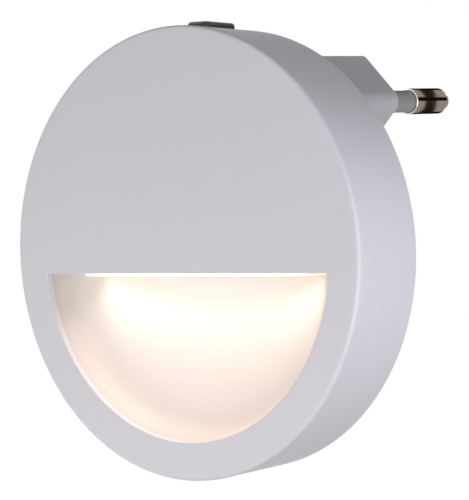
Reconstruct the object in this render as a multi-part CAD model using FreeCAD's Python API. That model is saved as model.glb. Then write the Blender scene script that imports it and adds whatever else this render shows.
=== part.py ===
import FreeCAD
import Part
import math
import os

# Plug in night light. A round shell with a half moon opening hangs from a flat two pin plug.
# A strip of light sources above the opening shines down through a diffuser into a scooped
# reflector. A light sensor under the small window on top of the rim switches them at dusk.
#
# Frame, in millimetres: the origin is the middle of the plug's face, halfway between the pins.
# +Y points to the wall, the way the pins point, +Z is up and the light's front faces -Y.
# "Depth" is measured back from the front plane, and "level" up from the axis of the round shell.

# Round shell
disc_radius = 33.5
disc_depth = 14.0
rim_draft = 0.7
front_edge_radius = 0.55
face_thickness = 1.6
wall_thickness = 1.6

# Half moon opening, the ring of face left round it and the lip that frames it
ring_width = 5.7
chord_drop = 2.94
lip_thickness = 1.0

# Scooped reflector behind the opening: a wide dish whose rim turns forward in a tight round
bowl_back_gap = 0.6
bowl_rim_round = 5.0
bowl_wall = 1.0
ceiling_thickness = 1.0
bowl_step = 0.2
flange_width = 1.3
flange_thickness = 0.8
flange_gap = 0.15

# Diffuser strip in the reflector's ceiling
diffuser_end_gap = 0.2
diffuser_width = 4.0
diffuser_slot_gap = 0.1
diffuser_depth = 4.6
diffuser_hang = 0.5
diffuser_flange_over = 0.5
diffuser_flange_thickness = 0.8
diffuser_edge = 0.3

# Light source board over the diffuser
led_board_width = 5.0
led_board_thickness = 1.0
led_count = 5
led_row_margin = 4.0
led_length = 3.5
led_width = 2.8
led_height = 0.8
led_gap = 0.75
led_post_length = 2.2
led_post_width = 3.4
led_post_margin = 0.1

# Back plate, closed by three screws from behind
plate_thickness = 1.8
plate_gap = 0.2
boss_inset = 2.7
boss_radius = 1.9
boss_angles = (40.0, 140.0, 270.0)
boss_rib = 1.2
boss_bowl_gap = 0.5

# Plug body, a long hexagon with rounded noses
plug_top_margin = 2.4
plug_length = 20.2
plug_half_height = 7.1
plug_flat_half = 8.6
plug_nose_half = 15.6
plug_nose_radius = 2.0
plug_corner_radius = 0.9
plug_edge_radius = 0.4
plug_wall = 1.6
plug_face_thickness = 3.0

# Pins, which lean together towards their tips
pin_radius = 2.0
pin_length = 19.0
pin_spacing_face = 18.6
pin_spacing_tip = 17.5
pin_core_radius = 1.25
pin_collar_radius = 2.1
pin_collar_thickness = 1.7
pin_tail_radius = 0.8
pin_tail_length = 3.2
pin_shoulder = 0.25
sleeve_radius = 1.7
sleeve_length = 9.4
sleeve_root = 1.5
sleeve_fit = 0.05
sleeve_mouth_gap = 0.25
sleeve_mouth_depth = 0.3

# Retainer plate over the pin collars, inside the plug body
retainer_thickness = 1.6
retainer_gap = 0.15
retainer_tail_gap = 0.4
retainer_boss_radius = 2.2

# Sensor window on top of the rim and the light sensor under it
window_width = 4.2
window_length = 7.0
window_corner = 1.0
window_edge = 0.5
window_proud = 0.85
window_back_gap = 0.2
window_gap = 0.08
window_ear_width = 1.2
window_ear_thickness = 1.0
window_ear_inset = 0.6
window_seat_gap = 0.1
sensor_radius = 2.5
sensor_height = 2.0
sensor_gap = 0.3
sensor_lead_spacing = 2.6
sensor_lead_inset = 1.2
sensor_lead_back = 1.3

# Driver board, D shaped, on two posts of the shell
board_back_room = 3.8
board_thickness = 1.2
board_bottom_level = 2.6
board_boss_gap = 0.5
board_corner = 1.5
board_post_inset = 7.4
board_post_level = 8.0
board_post_radius = 2.2

# Parts on the driver board
film_width = 12.0
film_height = 6.0
film_length = 12.0
film_drop = 1.0
film_corner = 0.6
can_face_gap = 0.35
can_length = 11.0
can_edge = 0.4
can_x = -6.5
can_level = 13.0
can_lead_spacing = 2.0
can_lead_reach = 1.6
can_seat = 0.05
bridge_length = 4.7
bridge_width = 3.9
bridge_height = 2.4
bridge_x = -8.0
bridge_level = 9.5
fuse_radius = 1.4
fuse_length = 7.5
fuse_edge = 0.3
fuse_x = 7.0
fuse_level = 12.0
fuse_lead_reach = 1.6
transistor_length = 2.9
transistor_width = 1.4
transistor_height = 1.1
transistor_x = 3.0
transistor_level = 6.5
zener_length = 3.5
zener_width = 1.6
zener_height = 1.4
zener_x = -2.5
zener_level = 6.5
chip_count = 6
chip_length = 3.2
chip_width = 1.45
chip_height = 0.6
chip_spacing = 2.35
chip_post_gap = 5.0
chip_row_gap = 0.8
chip_level = 4.8
lead_side = 0.5
lead_sunk = 0.5
tab_width = 0.7
tab_thickness = 0.25
tab_reach = 0.9

# Wires
mains_wire_radius = 0.8
mains_wire_bow = 2.2
led_wire_radius = 0.45
led_wire_spacing = 4.0
led_wire_level = 5.6
led_wire_bend = 1.1
joint_gap = 0.1

# Screws
screw_shank_radius = 1.0
screw_head_radius = 1.9
screw_head_height = 1.1
screw_bite = 5.0
screw_clearance = 0.2
screw_slot_width = 0.5
screw_slot_depth = 0.6
small_shank_radius = 0.6
small_head_radius = 1.1
small_head_height = 0.7
small_bite = 1.9
thread_fit = 0.03

# Worked out from the sizes above
shell_inner_back = disc_radius - rim_draft - wall_thickness
plate_radius = shell_inner_back - plate_gap
plate_depth = disc_depth - plate_thickness
plug_rise = plate_radius - plug_top_margin - plug_half_height
front_y = -(disc_depth + plug_length)
disc_z = -plug_rise
opening_radius = disc_radius - ring_width
ceiling_level = -chord_drop + ceiling_thickness
bowl_radius = opening_radius + bowl_step
bowl_depth = plate_depth - bowl_back_gap - bowl_wall - lip_thickness
bowl_round_centre = bowl_radius - bowl_rim_round
bowl_floor_radius = (bowl_round_centre ** 2 + bowl_depth ** 2 - bowl_rim_round ** 2) \
    / (2 * (bowl_depth - bowl_rim_round))
bowl_floor_centre = lip_thickness + bowl_depth - bowl_floor_radius
bowl_turn = math.asin(bowl_round_centre / (bowl_floor_radius - bowl_rim_round))
boss_circle = plate_radius - boss_inset
board_front_depth = plate_depth - board_back_room - board_thickness
board_rear_depth = board_front_depth + board_thickness
board_radius = boss_circle - boss_radius - board_boss_gap
board_post_x = math.sqrt(board_radius ** 2 - board_post_level ** 2) - board_post_inset
film_level = plug_rise - film_drop
can_radius = (board_front_depth - face_thickness - can_face_gap - can_seat) / 2
led_board_level = ceiling_level + diffuser_flange_thickness + led_gap + led_height
window_depth = plate_depth - window_back_gap - window_length / 2
far = 2 * disc_radius
draft_angle = math.degrees(math.atan2(rim_draft, disc_depth))
pin_lean = math.degrees(math.atan2(pin_spacing_face - pin_spacing_tip, 2 * pin_length))
plug_slope = math.atan2(plug_half_height, plug_nose_half - plug_flat_half)


def vec(x, y, z):
    """Point or direction."""
    return FreeCAD.Vector(x, y, z)


def in_disc(shape):
    """Move a shape from disc coordinates (x, depth, level) to the part's frame."""
    shape.translate(vec(0, front_y, disc_z))
    return shape


def rim_radius(depth):
    """Outer radius of the drafted rim at a depth behind the front plane."""
    return disc_radius - rim_draft * depth / disc_depth


def box(x_low, x_high, y_low, y_high, z_low, z_high):
    """Box between two corners."""
    size = (x_high - x_low, y_high - y_low, z_high - z_low)
    return Part.makeBox(size[0], size[1], size[2], vec(x_low, y_low, z_low))


def rod_y(radius, x, z, start, end):
    """Cylinder along +Y."""
    return Part.makeCylinder(radius, end - start, vec(x, start, z), vec(0, 1, 0))


def rounded_face(corners):
    """Face in the XZ plane through corners (x, z, radius), each rounded by its radius."""
    count = len(corners)
    stations = []
    for index in range(count):
        x, z, radius = corners[index]
        here = vec(x, 0, z)
        before = corners[index - 1]
        after = corners[(index + 1) % count]
        to_before = (vec(before[0], 0, before[1]) - here).normalize()
        to_after = (vec(after[0], 0, after[1]) - here).normalize()
        if radius <= 0:
            stations.append((here, None, here))
            continue
        half = to_before.getAngle(to_after) / 2
        bisector = (to_before + to_after).normalize()
        centre = here + bisector * (radius / math.sin(half))
        enter = here + to_before * (radius / math.tan(half))
        leave = here + to_after * (radius / math.tan(half))
        stations.append((enter, centre - bisector * radius, leave))
    edges = []
    for index in range(count):
        enter, middle, leave = stations[index]
        if middle is not None:
            edges.append(Part.Arc(enter, middle, leave).toShape())
        following = stations[(index + 1) % count][0]
        if leave.distanceToPoint(following) > 1e-6:
            edges.append(Part.makeLine(leave, following))
    return Part.Face(Part.Wire(edges))


def prism_y(face, start, end):
    """Solid that carries an XZ face from one Y to another."""
    solid = face.extrude(vec(0, end - start, 0))
    solid.translate(vec(0, start, 0))
    return solid


def prism_z(face, low, high):
    """Solid whose outline, drawn in XZ, lies flat in XY and runs up from low to high."""
    solid = face.extrude(vec(0, high - low, 0))
    solid.rotate(vec(0, 0, 0), vec(1, 0, 0), 90)
    solid.translate(vec(0, 0, low))
    return solid


def revolve_y(points, angle=360):
    """Solid of revolution about the Y axis from (radius, y) points."""
    corners = [vec(radius, y, 0) for radius, y in points]
    corners.append(corners[0])
    return Part.Face(Part.makePolygon(corners)).revolve(vec(0, 0, 0), vec(0, 1, 0), angle)


def half_moon(grow):
    """Half moon of the opening in the XZ plane, grown all round by an amount."""
    radius = opening_radius + grow
    level = -chord_drop + grow
    reach = math.sqrt(radius ** 2 - level ** 2)
    left = vec(-reach, 0, level)
    right = vec(reach, 0, level)
    arc = Part.Arc(left, vec(0, 0, -radius), right).toShape()
    return Part.Face(Part.Wire([arc, Part.makeLine(right, left)]))


def bowl_solid(grow):
    """Lower half of the scoop as a solid, grown outwards by an even amount."""
    floor_radius = bowl_floor_radius + grow
    rim_round = bowl_rim_round + grow
    centre = vec(0, lip_thickness, 0)
    rim = vec(bowl_radius + grow, lip_thickness, 0)
    floor = vec(0, bowl_floor_centre + floor_radius, 0)
    join = vec(floor_radius * math.sin(bowl_turn), bowl_floor_centre + floor_radius * math.cos(bowl_turn), 0)
    half = bowl_turn / 2
    on_floor = vec(floor_radius * math.sin(half), bowl_floor_centre + floor_radius * math.cos(half), 0)
    middle = (bowl_turn + math.pi / 2) / 2
    round_reach = bowl_round_centre + rim_round * math.sin(middle)
    on_round = vec(round_reach, lip_thickness + rim_round * math.cos(middle), 0)
    edges = [
        Part.Arc(rim, on_round, join).toShape(),
        Part.Arc(join, on_floor, floor).toShape(),
        Part.makeLine(floor, centre),
        Part.makeLine(centre, rim),
    ]
    return Part.Face(Part.Wire(edges)).revolve(vec(0, 0, 0), vec(0, 1, 0), 180)


def bowl_reach(grow, depth):
    """Radius of the scoop, grown by an amount, at a depth behind the front plane."""
    floor_radius = bowl_floor_radius + grow
    if depth > bowl_floor_centre + floor_radius * math.cos(bowl_turn):
        return math.sqrt(floor_radius ** 2 - (depth - bowl_floor_centre) ** 2)
    rim_round = bowl_rim_round + grow
    return bowl_round_centre + math.sqrt(rim_round ** 2 - (depth - lip_thickness) ** 2)


def bowl_clear_depth(grow, radius):
    """Depth at which the grown scoop has drawn in to a radius."""
    floor_radius = bowl_floor_radius + grow
    if radius < floor_radius * math.sin(bowl_turn):
        return bowl_floor_centre + math.sqrt(floor_radius ** 2 - radius ** 2)
    rim_round = bowl_rim_round + grow
    return lip_thickness + math.sqrt(rim_round ** 2 - (radius - bowl_round_centre) ** 2)


def ceiling_half_length(grow, depth):
    """Half length of the ceiling, along the chord, at a depth behind the front plane."""
    return math.sqrt(bowl_reach(grow, depth) ** 2 - chord_drop ** 2)


def diffuser_half_length():
    """Half length of the diffuser, which stops short of the scoop's wall."""
    return ceiling_half_length(0, diffuser_depth + diffuser_width / 2) - diffuser_end_gap


def led_post_end():
    """Outer end of a board post, which stays on the ceiling."""
    return ceiling_half_length(bowl_wall, diffuser_depth + led_post_width / 2) - led_post_margin


def plug_face_outline(inset):
    """Outline of the plug body, moved in by a wall."""
    height = plug_half_height - inset
    nose = plug_nose_half - inset / math.sin(plug_slope)
    flat = nose - height / math.tan(plug_slope)
    nose_round = max(plug_nose_radius - inset, 0.4)
    corner_round = max(plug_corner_radius - inset, 0.2)
    corners = [
        (flat, height, corner_round),
        (nose, 0, nose_round),
        (flat, -height, corner_round),
        (-flat, -height, corner_round),
        (-nose, 0, nose_round),
        (-flat, height, corner_round),
    ]
    return rounded_face(corners)


def bent_rod(points, radius, bend):
    """Round rod along straight runs joined by tangent arcs of one bend radius."""
    edges = []
    start = points[0]
    for index in range(1, len(points) - 1):
        here = points[index]
        back = (points[index - 1] - here).normalize()
        on = (points[index + 1] - here).normalize()
        half = back.getAngle(on) / 2
        bisector = (back + on).normalize()
        enter = here + back * (bend / math.tan(half))
        leave = here + on * (bend / math.tan(half))
        middle = here + bisector * (bend / math.sin(half) - bend)
        edges.append(Part.makeLine(start, enter))
        edges.append(Part.Arc(enter, middle, leave).toShape())
        start = leave
    edges.append(Part.makeLine(start, points[-1]))
    path = Part.Wire(edges)
    direction = (points[1] - points[0]).normalize()
    ring = Part.Wire(Part.Circle(points[0], direction, radius).toShape())
    return path.makePipeShell([ring], True, False)


def square_lead(points):
    """Square lead along runs that each lie along one axis."""
    half = lead_side / 2
    lead = None
    for start, end in zip(points, points[1:]):
        low = [min(a, b) - half for a, b in zip(start, end)]
        high = [max(a, b) + half for a, b in zip(start, end)]
        run = box(low[0], high[0], low[1], high[1], low[2], high[2])
        lead = run if lead is None else lead.fuse(run)
    return lead


def screw(shank, head, head_height, bite):
    """Pan head screw along +Y, with its head's seat at the origin and its point at -bite."""
    profile = [
        (0, -bite),
        (shank, -bite + shank),
        (shank, 0),
        (head, 0),
        (head * 0.85, head_height),
        (0, head_height),
    ]
    solid = revolve_y(profile)
    slot_depth = min(screw_slot_depth, head_height * 0.6)
    arm = head * 0.6
    width = screw_slot_width / 2
    low = head_height - slot_depth
    across = box(-arm, arm, low, head_height + 1, -width, width)
    upright = box(-width, width, low, head_height + 1, -arm, arm)
    return solid.cut(across.fuse(upright))


def boss_place(angle):
    """Position (x, level) of a cover screw on its circle."""
    turn = math.radians(angle)
    return boss_circle * math.cos(turn), boss_circle * math.sin(turn)


def window_body(grow, low_level, high_level):
    """Body of the sensor window, square to the drafted rim, grown sideways by an amount."""
    half_x = window_width / 2 + grow
    half_y = window_length / 2 + grow
    round_off = window_corner + grow
    corners = [
        (half_x, half_y, round_off),
        (half_x, -half_y, round_off),
        (-half_x, -half_y, round_off),
        (-half_x, half_y, round_off),
    ]
    body = prism_z(rounded_face(corners), low_level, high_level)
    return body


def lean_with_rim(shape):
    """Turn a shape drawn over the origin square to the rim and put it at the window."""
    pivot = rim_radius(window_depth)
    shape.rotate(vec(0, 0, pivot), vec(1, 0, 0), -draft_angle)
    shape.translate(vec(0, window_depth, 0))
    return shape


def window_seat_level():
    """Level of the window's ears, just under the inside of the rim."""
    half = window_width / 2 + window_ear_width
    inner = rim_radius(disc_depth) - wall_thickness
    return math.sqrt(inner ** 2 - half ** 2) - window_seat_gap


def make_front_cover():
    """Cup shaped front shell with the half moon opening, bosses, posts and window hole."""
    outer = revolve_y([(0, 0), (disc_radius, 0), (rim_radius(disc_depth), disc_depth), (0, disc_depth)])
    front_edges = [
        edge for edge in outer.Edges
        if abs(edge.BoundBox.YMax) < 1e-6 and edge.Length > disc_radius
    ]
    outer = outer.makeFillet(front_edge_radius, front_edges)
    inner_front = rim_radius(face_thickness) - wall_thickness
    inner_back = rim_radius(disc_depth) - wall_thickness
    hollow = revolve_y([
        (0, face_thickness),
        (inner_front, face_thickness),
        (inner_back, disc_depth),
        (inner_back, disc_depth + 1),
        (0, disc_depth + 1),
    ])
    shell = outer.cut(hollow)
    supports = []
    for angle in boss_angles:
        supports.append(cover_boss(angle))
    for side in (-1, 1):
        post = rod_y(board_post_radius, side * board_post_x, board_post_level,
                     face_thickness - 0.2, board_front_depth)
        supports.append(post)
    shell = shell.fuse(supports)
    shell = shell.cut(prism_y(half_moon(0), -1, face_thickness + 1))
    rebate_grow = flange_width + bowl_step + flange_gap
    shell = shell.cut(prism_y(half_moon(rebate_grow), lip_thickness, face_thickness + 0.01))
    for angle in boss_angles:
        x, level = boss_place(angle)
        pilot = screw_shank_radius + thread_fit
        shell = shell.cut(rod_y(pilot, x, level, plate_depth - screw_bite - 0.5, plate_depth + 1))
    for side in (-1, 1):
        pilot = small_shank_radius + thread_fit
        start = board_front_depth - small_bite - 0.9
        shell = shell.cut(rod_y(pilot, side * board_post_x, board_post_level, start, board_front_depth + 1))
    hole = window_body(window_gap, rim_radius(disc_depth) - 4, disc_radius + 3)
    shell = shell.cut(lean_with_rim(hole))
    return in_disc(shell.removeSplitter())


def cover_boss(angle):
    """Screw boss with the rib that ties it to the rim."""
    x, level = boss_place(angle)
    start = face_thickness - 0.2
    if level < -chord_drop:
        start = bowl_clear_depth(bowl_wall, boss_circle - boss_radius - boss_bowl_gap)
    boss = rod_y(boss_radius, x, level, start, plate_depth)
    reach = rim_radius(disc_depth) - wall_thickness * 0.5
    rib = box(boss_circle, reach, start, plate_depth, -boss_rib / 2, boss_rib / 2)
    rib.rotate(vec(0, 0, 0), vec(0, 1, 0), -angle)
    return boss.fuse(rib)


def make_rear_housing():
    """Back plate and hollow plug body, moulded as one piece."""
    plate = rod_y(plate_radius, 0, 0, plate_depth, disc_depth)
    plate = in_disc(plate)
    body = prism_y(plug_face_outline(0), -plug_length - plate_thickness, 0)
    rims = [edge for edge in body.Edges if abs(edge.BoundBox.YMin) < 1e-6]
    body = body.makeFillet(plug_edge_radius, rims)
    housing = plate.fuse(body)
    cavity = prism_y(plug_face_outline(plug_wall), -plug_length - plate_thickness - 1, -plug_face_thickness)
    housing = housing.cut(cavity)
    post_end = -plug_face_thickness - pin_collar_thickness - 0.3
    post = rod_y(retainer_boss_radius, 0, 0, post_end, -plug_face_thickness + 0.2)
    housing = housing.fuse(post)
    pilot_radius = small_shank_radius + thread_fit
    housing = housing.cut(rod_y(pilot_radius, 0, 0, post_end - 1, post_end + small_bite + 0.4))
    for side in (-1, 1):
        root = rod_y(sleeve_radius + sleeve_fit, 0, 0, -sleeve_root, 2)
        core = rod_y(pin_core_radius + sleeve_fit, 0, 0, -plug_face_thickness - 1, 2)
        mouth = rod_y(sleeve_radius + sleeve_mouth_gap, 0, 0, -sleeve_mouth_depth, 2)
        for hole in (root, core, mouth):
            housing = housing.cut(place_pin(hole, side))
    for angle in boss_angles:
        x, level = boss_place(angle)
        hole = rod_y(screw_shank_radius + screw_clearance, x, level, plate_depth - 1, disc_depth + 1)
        sink_depth = disc_depth - screw_head_height
        sink = rod_y(screw_head_radius + screw_clearance, x, level, sink_depth, disc_depth + 1)
        housing = housing.cut(in_disc(hole.fuse(sink)))
    return housing.removeSplitter()


def place_pin(shape, side):
    """Put a shape drawn on the Y axis on one pin's leaning axis."""
    shape.rotate(vec(0, 0, 0), vec(0, 0, 1), side * pin_lean)
    shape.translate(vec(side * pin_spacing_face / 2, 0, 0))
    return shape


def make_pin(side):
    """Contact pin: round tip, thick contact length, thin core, collar and solder tail."""
    collar_front = -plug_face_thickness - 0.1
    collar_back = collar_front - pin_collar_thickness
    tail_end = collar_back - pin_tail_length
    profile = [
        vec(0, tail_end, 0),
        vec(pin_tail_radius, tail_end, 0),
        vec(pin_tail_radius, collar_back, 0),
        vec(pin_collar_radius, collar_back, 0),
        vec(pin_collar_radius, collar_front, 0),
        vec(pin_core_radius, collar_front, 0),
        vec(pin_core_radius, sleeve_length, 0),
        vec(pin_radius - pin_shoulder, sleeve_length, 0),
        vec(pin_radius, sleeve_length + pin_shoulder, 0),
        vec(pin_radius, pin_length - pin_radius, 0),
    ]
    edges = []
    for index in range(len(profile) - 1):
        edges.append(Part.makeLine(profile[index], profile[index + 1]))
    dome_drop = pin_radius * (1 - math.cos(math.pi / 4))
    dome_middle = vec(pin_radius * math.sin(math.pi / 4), pin_length - dome_drop, 0)
    tip = vec(0, pin_length, 0)
    edges.append(Part.Arc(profile[-1], dome_middle, tip).toShape())
    edges.append(Part.makeLine(tip, profile[0]))
    solid = Part.Face(Part.Wire(edges)).revolve(vec(0, 0, 0), vec(0, 1, 0), 360)
    return place_pin(solid, side)


def make_sleeve(side):
    """Insulating sleeve round the root of a pin."""
    end = sleeve_length - 0.05
    tube = revolve_y([
        (pin_core_radius + sleeve_fit, -sleeve_root),
        (sleeve_radius, -sleeve_root),
        (sleeve_radius, end - 0.2),
        (sleeve_radius - 0.2, end),
        (pin_core_radius + sleeve_fit, end),
    ])
    return place_pin(tube, side)


def retainer_seat():
    """Y of the retainer's face that looks at the wall."""
    return -plug_face_thickness - pin_collar_thickness - 0.3


def make_pin_retainer():
    """Plate that keeps the pin collars against the plug's face wall."""
    seat = retainer_seat()
    plate = prism_y(plug_face_outline(plug_wall + retainer_gap), seat - retainer_thickness, seat)
    screw_hole = rod_y(small_shank_radius + screw_clearance, 0, 0, seat - retainer_thickness - 1, seat + 1)
    plate = plate.cut(screw_hole)
    for side in (-1, 1):
        hole = rod_y(pin_tail_radius + retainer_tail_gap, 0, 0, seat - retainer_thickness - 2, seat + 2)
        plate = plate.cut(place_pin(hole, side))
    return plate


def make_reflector():
    """Scooped half moon reflector with a flange, a slotted ceiling and two board posts."""
    moon_cut = box(-far, far, -far, far, -chord_drop, far)
    top_cut = box(-far, far, -far, far, ceiling_level, far)
    outer = bowl_solid(bowl_wall).cut(top_cut)
    flange_end = lip_thickness + flange_thickness
    flange = prism_y(half_moon(flange_width + bowl_step), lip_thickness, flange_end)
    inner = bowl_solid(0).cut(moon_cut)
    mouth = prism_y(half_moon(bowl_step), lip_thickness - 1, lip_thickness + 0.001)
    shell = outer.fuse(flange).cut(inner).cut(mouth.cut(moon_cut))
    slot_half_length = diffuser_half_length() + diffuser_slot_gap
    slot_half_width = diffuser_width / 2 + diffuser_slot_gap
    shell = shell.cut(box(-slot_half_length, slot_half_length, diffuser_depth - slot_half_width,
                          diffuser_depth + slot_half_width, -chord_drop - 1, ceiling_level + 1))
    for side in (-1, 1):
        middle = side * (led_post_end() - led_post_length / 2)
        post = box(middle - led_post_length / 2, middle + led_post_length / 2,
                   diffuser_depth - led_post_width / 2, diffuser_depth + led_post_width / 2,
                   ceiling_level - 0.3, led_board_level)
        shell = shell.fuse(post)
        pilot = Part.makeCylinder(small_shank_radius + thread_fit, small_bite + 0.3,
                                  vec(middle, diffuser_depth, led_board_level - small_bite - 0.3))
        shell = shell.cut(pilot)
    return in_disc(shell.removeSplitter())


def make_diffuser():
    """Frosted strip through the ceiling slot, resting on it by a flange."""
    half_length = diffuser_half_length()
    half_width = diffuser_width / 2
    low = -chord_drop - diffuser_hang
    strip = box(-half_length, half_length, diffuser_depth - half_width, diffuser_depth + half_width,
                low, ceiling_level + diffuser_flange_thickness)
    low_edges = [edge for edge in strip.Edges if abs(edge.BoundBox.ZMax - low) < 1e-6]
    strip = strip.makeFillet(diffuser_edge, low_edges)
    over = diffuser_flange_over
    flange = box(-half_length - over, half_length + over, diffuser_depth - half_width - over,
                 diffuser_depth + half_width + over, ceiling_level, ceiling_level + diffuser_flange_thickness)
    return in_disc(strip.fuse(flange).removeSplitter())


def make_sensor_window():
    """Smoked window with two ears that rest under the inside of the rim."""
    seat = window_seat_level()
    top = rim_radius(window_depth) + window_proud
    body = window_body(0, seat - window_ear_thickness, top)
    top_edges = [edge for edge in body.Edges if abs(edge.BoundBox.ZMin - top) < 1e-6]
    body = body.makeFillet(window_edge, top_edges)
    half = window_width / 2 + window_ear_width
    ear_half = window_length / 2 - window_ear_inset
    ears = box(-half, half, -ear_half, ear_half, seat - window_ear_thickness, seat)
    return in_disc(lean_with_rim(body.fuse(ears)).removeSplitter())


def make_light_sensor():
    """Round light sensor that looks up through the window, with two leads to the driver board."""
    top = window_seat_level() - window_ear_thickness - sensor_gap
    low = top - sensor_height
    body = Part.makeCylinder(sensor_radius, sensor_height, vec(0, window_depth, low))
    depth = window_depth + sensor_lead_back
    lead_level = board_radius - sensor_lead_inset
    for side in (-1, 1):
        x = side * sensor_lead_spacing / 2
        foot = board_rear_depth + lead_side / 2
        points = [(x, depth, low + lead_sunk), (x, depth, lead_level), (x, foot, lead_level)]
        body = body.fuse(square_lead(points))
    return in_disc(body.removeSplitter())


def make_driver_board():
    """D shaped board with its round side up."""
    level = board_bottom_level
    reach = math.sqrt(board_radius ** 2 - level ** 2)
    left = vec(-reach, 0, level)
    right = vec(reach, 0, level)
    arc = Part.Arc(left, vec(0, 0, board_radius), right).toShape()
    outline = Part.Face(Part.Wire([arc, Part.makeLine(right, left)]))
    board = prism_y(outline, board_front_depth, board_rear_depth)
    corners = [
        edge for edge in board.Edges
        if edge.BoundBox.YLength > board_thickness / 2 and edge.BoundBox.XLength < 1e-6
    ]
    board = board.makeFillet(board_corner, corners)
    for side in (-1, 1):
        hole = rod_y(small_shank_radius + screw_clearance, side * board_post_x, board_post_level,
                     board_front_depth - 1, board_rear_depth + 1)
        board = board.cut(hole)
    return in_disc(board)


def make_led_board():
    """Narrow board over the ceiling slot, screwed to the reflector's two posts."""
    half_length = led_post_end()
    half_width = led_board_width / 2
    board = box(-half_length, half_length, diffuser_depth - half_width, diffuser_depth + half_width,
                led_board_level, led_board_level + led_board_thickness)
    led_hole_x = led_post_end() - led_post_length / 2
    for side in (-1, 1):
        hole = Part.makeCylinder(small_shank_radius + screw_clearance, led_board_thickness + 2,
                                 vec(side * led_hole_x, diffuser_depth, led_board_level - 1))
        board = board.cut(hole)
    return in_disc(board)


def make_led_chips():
    """Row of light sources under the narrow board."""
    chips = []
    spacing = 2 * (diffuser_half_length() - led_row_margin) / (led_count - 1)
    for index in range(led_count):
        x = (index - (led_count - 1) / 2) * spacing
        chip = box(x - led_length / 2, x + led_length / 2, diffuser_depth - led_width / 2,
                   diffuser_depth + led_width / 2, led_board_level - led_height, led_board_level)
        chips.append(in_disc(chip))
    return Part.makeCompound(chips)


def on_board_rear(x, level, length, width, height):
    """Block that lies on the rear face of the driver board."""
    return box(x - length / 2, x + length / 2, board_rear_depth, board_rear_depth + height,
               level - width / 2, level + width / 2)


def make_film_capacitor():
    """Box capacitor that reaches back into the plug body, between the pins."""
    block = on_board_rear(0, film_level, film_width, film_height, film_length)
    ends = [edge for edge in block.Edges if edge.BoundBox.YMin > board_rear_depth + 1e-6]
    return in_disc(block.makeFillet(film_corner, ends))


def make_smoothing_capacitor():
    """Small can that lies on the front of the driver board, with its two leads."""
    axis_depth = board_front_depth - can_radius - can_seat
    start = can_x - can_length / 2
    can = Part.makeCylinder(can_radius, can_length, vec(start, axis_depth, can_level), vec(1, 0, 0))
    can = can.makeChamfer(can_edge, [edge for edge in can.Edges if edge.Length > can_radius * 6])
    end = start + can_length
    for side in (-1, 1):
        level = can_level + side * can_lead_spacing / 2
        points = [
            (end - lead_sunk, axis_depth, level),
            (end + can_lead_reach, axis_depth, level),
            (end + can_lead_reach, board_front_depth - lead_side / 2, level),
        ]
        can = can.fuse(square_lead(points))
    return in_disc(can.removeSplitter())


def make_bridge_rectifier():
    """Bridge rectifier block with four flat tabs."""
    block = on_board_rear(bridge_x, bridge_level, bridge_length, bridge_width, bridge_height)
    for side in (-1, 1):
        for end in (-1, 1):
            x = bridge_x + side * bridge_length / 4
            level = bridge_level + end * (bridge_width / 2 + tab_reach / 2)
            tab = on_board_rear(x, level, tab_width, tab_reach + 0.2, tab_thickness)
            block = block.fuse(tab)
    return in_disc(block.removeSplitter())


def make_fuse_resistor():
    """Round fuse resistor across the board, with a lead at each end."""
    axis_depth = board_rear_depth + fuse_radius + can_seat
    body = Part.makeCylinder(fuse_radius, fuse_length, vec(fuse_x - fuse_length / 2, axis_depth, fuse_level),
                             vec(1, 0, 0))
    body = body.makeChamfer(fuse_edge, [edge for edge in body.Edges if edge.Length > fuse_radius * 6])
    for side in (-1, 1):
        inside = fuse_x + side * (fuse_length / 2 - lead_sunk)
        outside = fuse_x + side * (fuse_length / 2 + fuse_lead_reach)
        points = [
            (inside, axis_depth, fuse_level),
            (outside, axis_depth, fuse_level),
            (outside, board_rear_depth + lead_side / 2, fuse_level),
        ]
        body = body.fuse(square_lead(points))
    return in_disc(body.removeSplitter())


def make_transistor():
    """Three tab transistor that switches the light sources."""
    size = (transistor_length, transistor_width, transistor_height)
    block = on_board_rear(transistor_x, transistor_level, *size)
    below = transistor_level - transistor_width / 2 - tab_reach / 2
    above = transistor_level + transistor_width / 2 + tab_reach / 2
    places = [(transistor_x - 0.95, below), (transistor_x + 0.95, below), (transistor_x, above)]
    for x, level in places:
        tab = on_board_rear(x, level, tab_width * 0.6, tab_reach + 0.2, tab_thickness)
        block = block.fuse(tab)
    return in_disc(block.removeSplitter())


def make_zener_diode():
    """Flat moulded zener diode with a tab at each end."""
    block = on_board_rear(zener_x, zener_level, zener_length, zener_width, zener_height)
    for side in (-1, 1):
        x = zener_x + side * (zener_length / 2 + tab_reach / 2)
        block = block.fuse(on_board_rear(x, zener_level, tab_reach + 0.2, tab_width, tab_thickness))
    return in_disc(block.removeSplitter())


def make_chip_resistors():
    """Two columns of chip resistors beside the right hand post."""
    solids = []
    outer_column = board_post_x - chip_post_gap
    for index in range(chip_count):
        row = index // 2
        column = index % 2
        x = outer_column - column * (chip_length + chip_row_gap)
        level = chip_level + row * chip_spacing
        solids.append(in_disc(on_board_rear(x, level, chip_length, chip_width, chip_height)))
    return Part.makeCompound(solids)


def make_mains_wire(side):
    """Insulated wire from a pin's tail to the driver board, bowed a little for slack."""
    tail_end = -plug_face_thickness - 0.1 - pin_collar_thickness - pin_tail_length
    x = side * (pin_spacing_face / 2 - tail_end * math.sin(math.radians(pin_lean)))
    start_y = tail_end - joint_gap
    end_y = front_y + board_rear_depth
    run = (start_y - end_y) / 4
    points = [
        vec(x, start_y, 0),
        vec(x, start_y - run, 0),
        vec(x, start_y - 2 * run, -mains_wire_bow),
        vec(x, start_y - 3 * run, 0),
        vec(x, end_y, 0),
    ]
    return bent_rod(points, mains_wire_radius, run)


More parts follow.
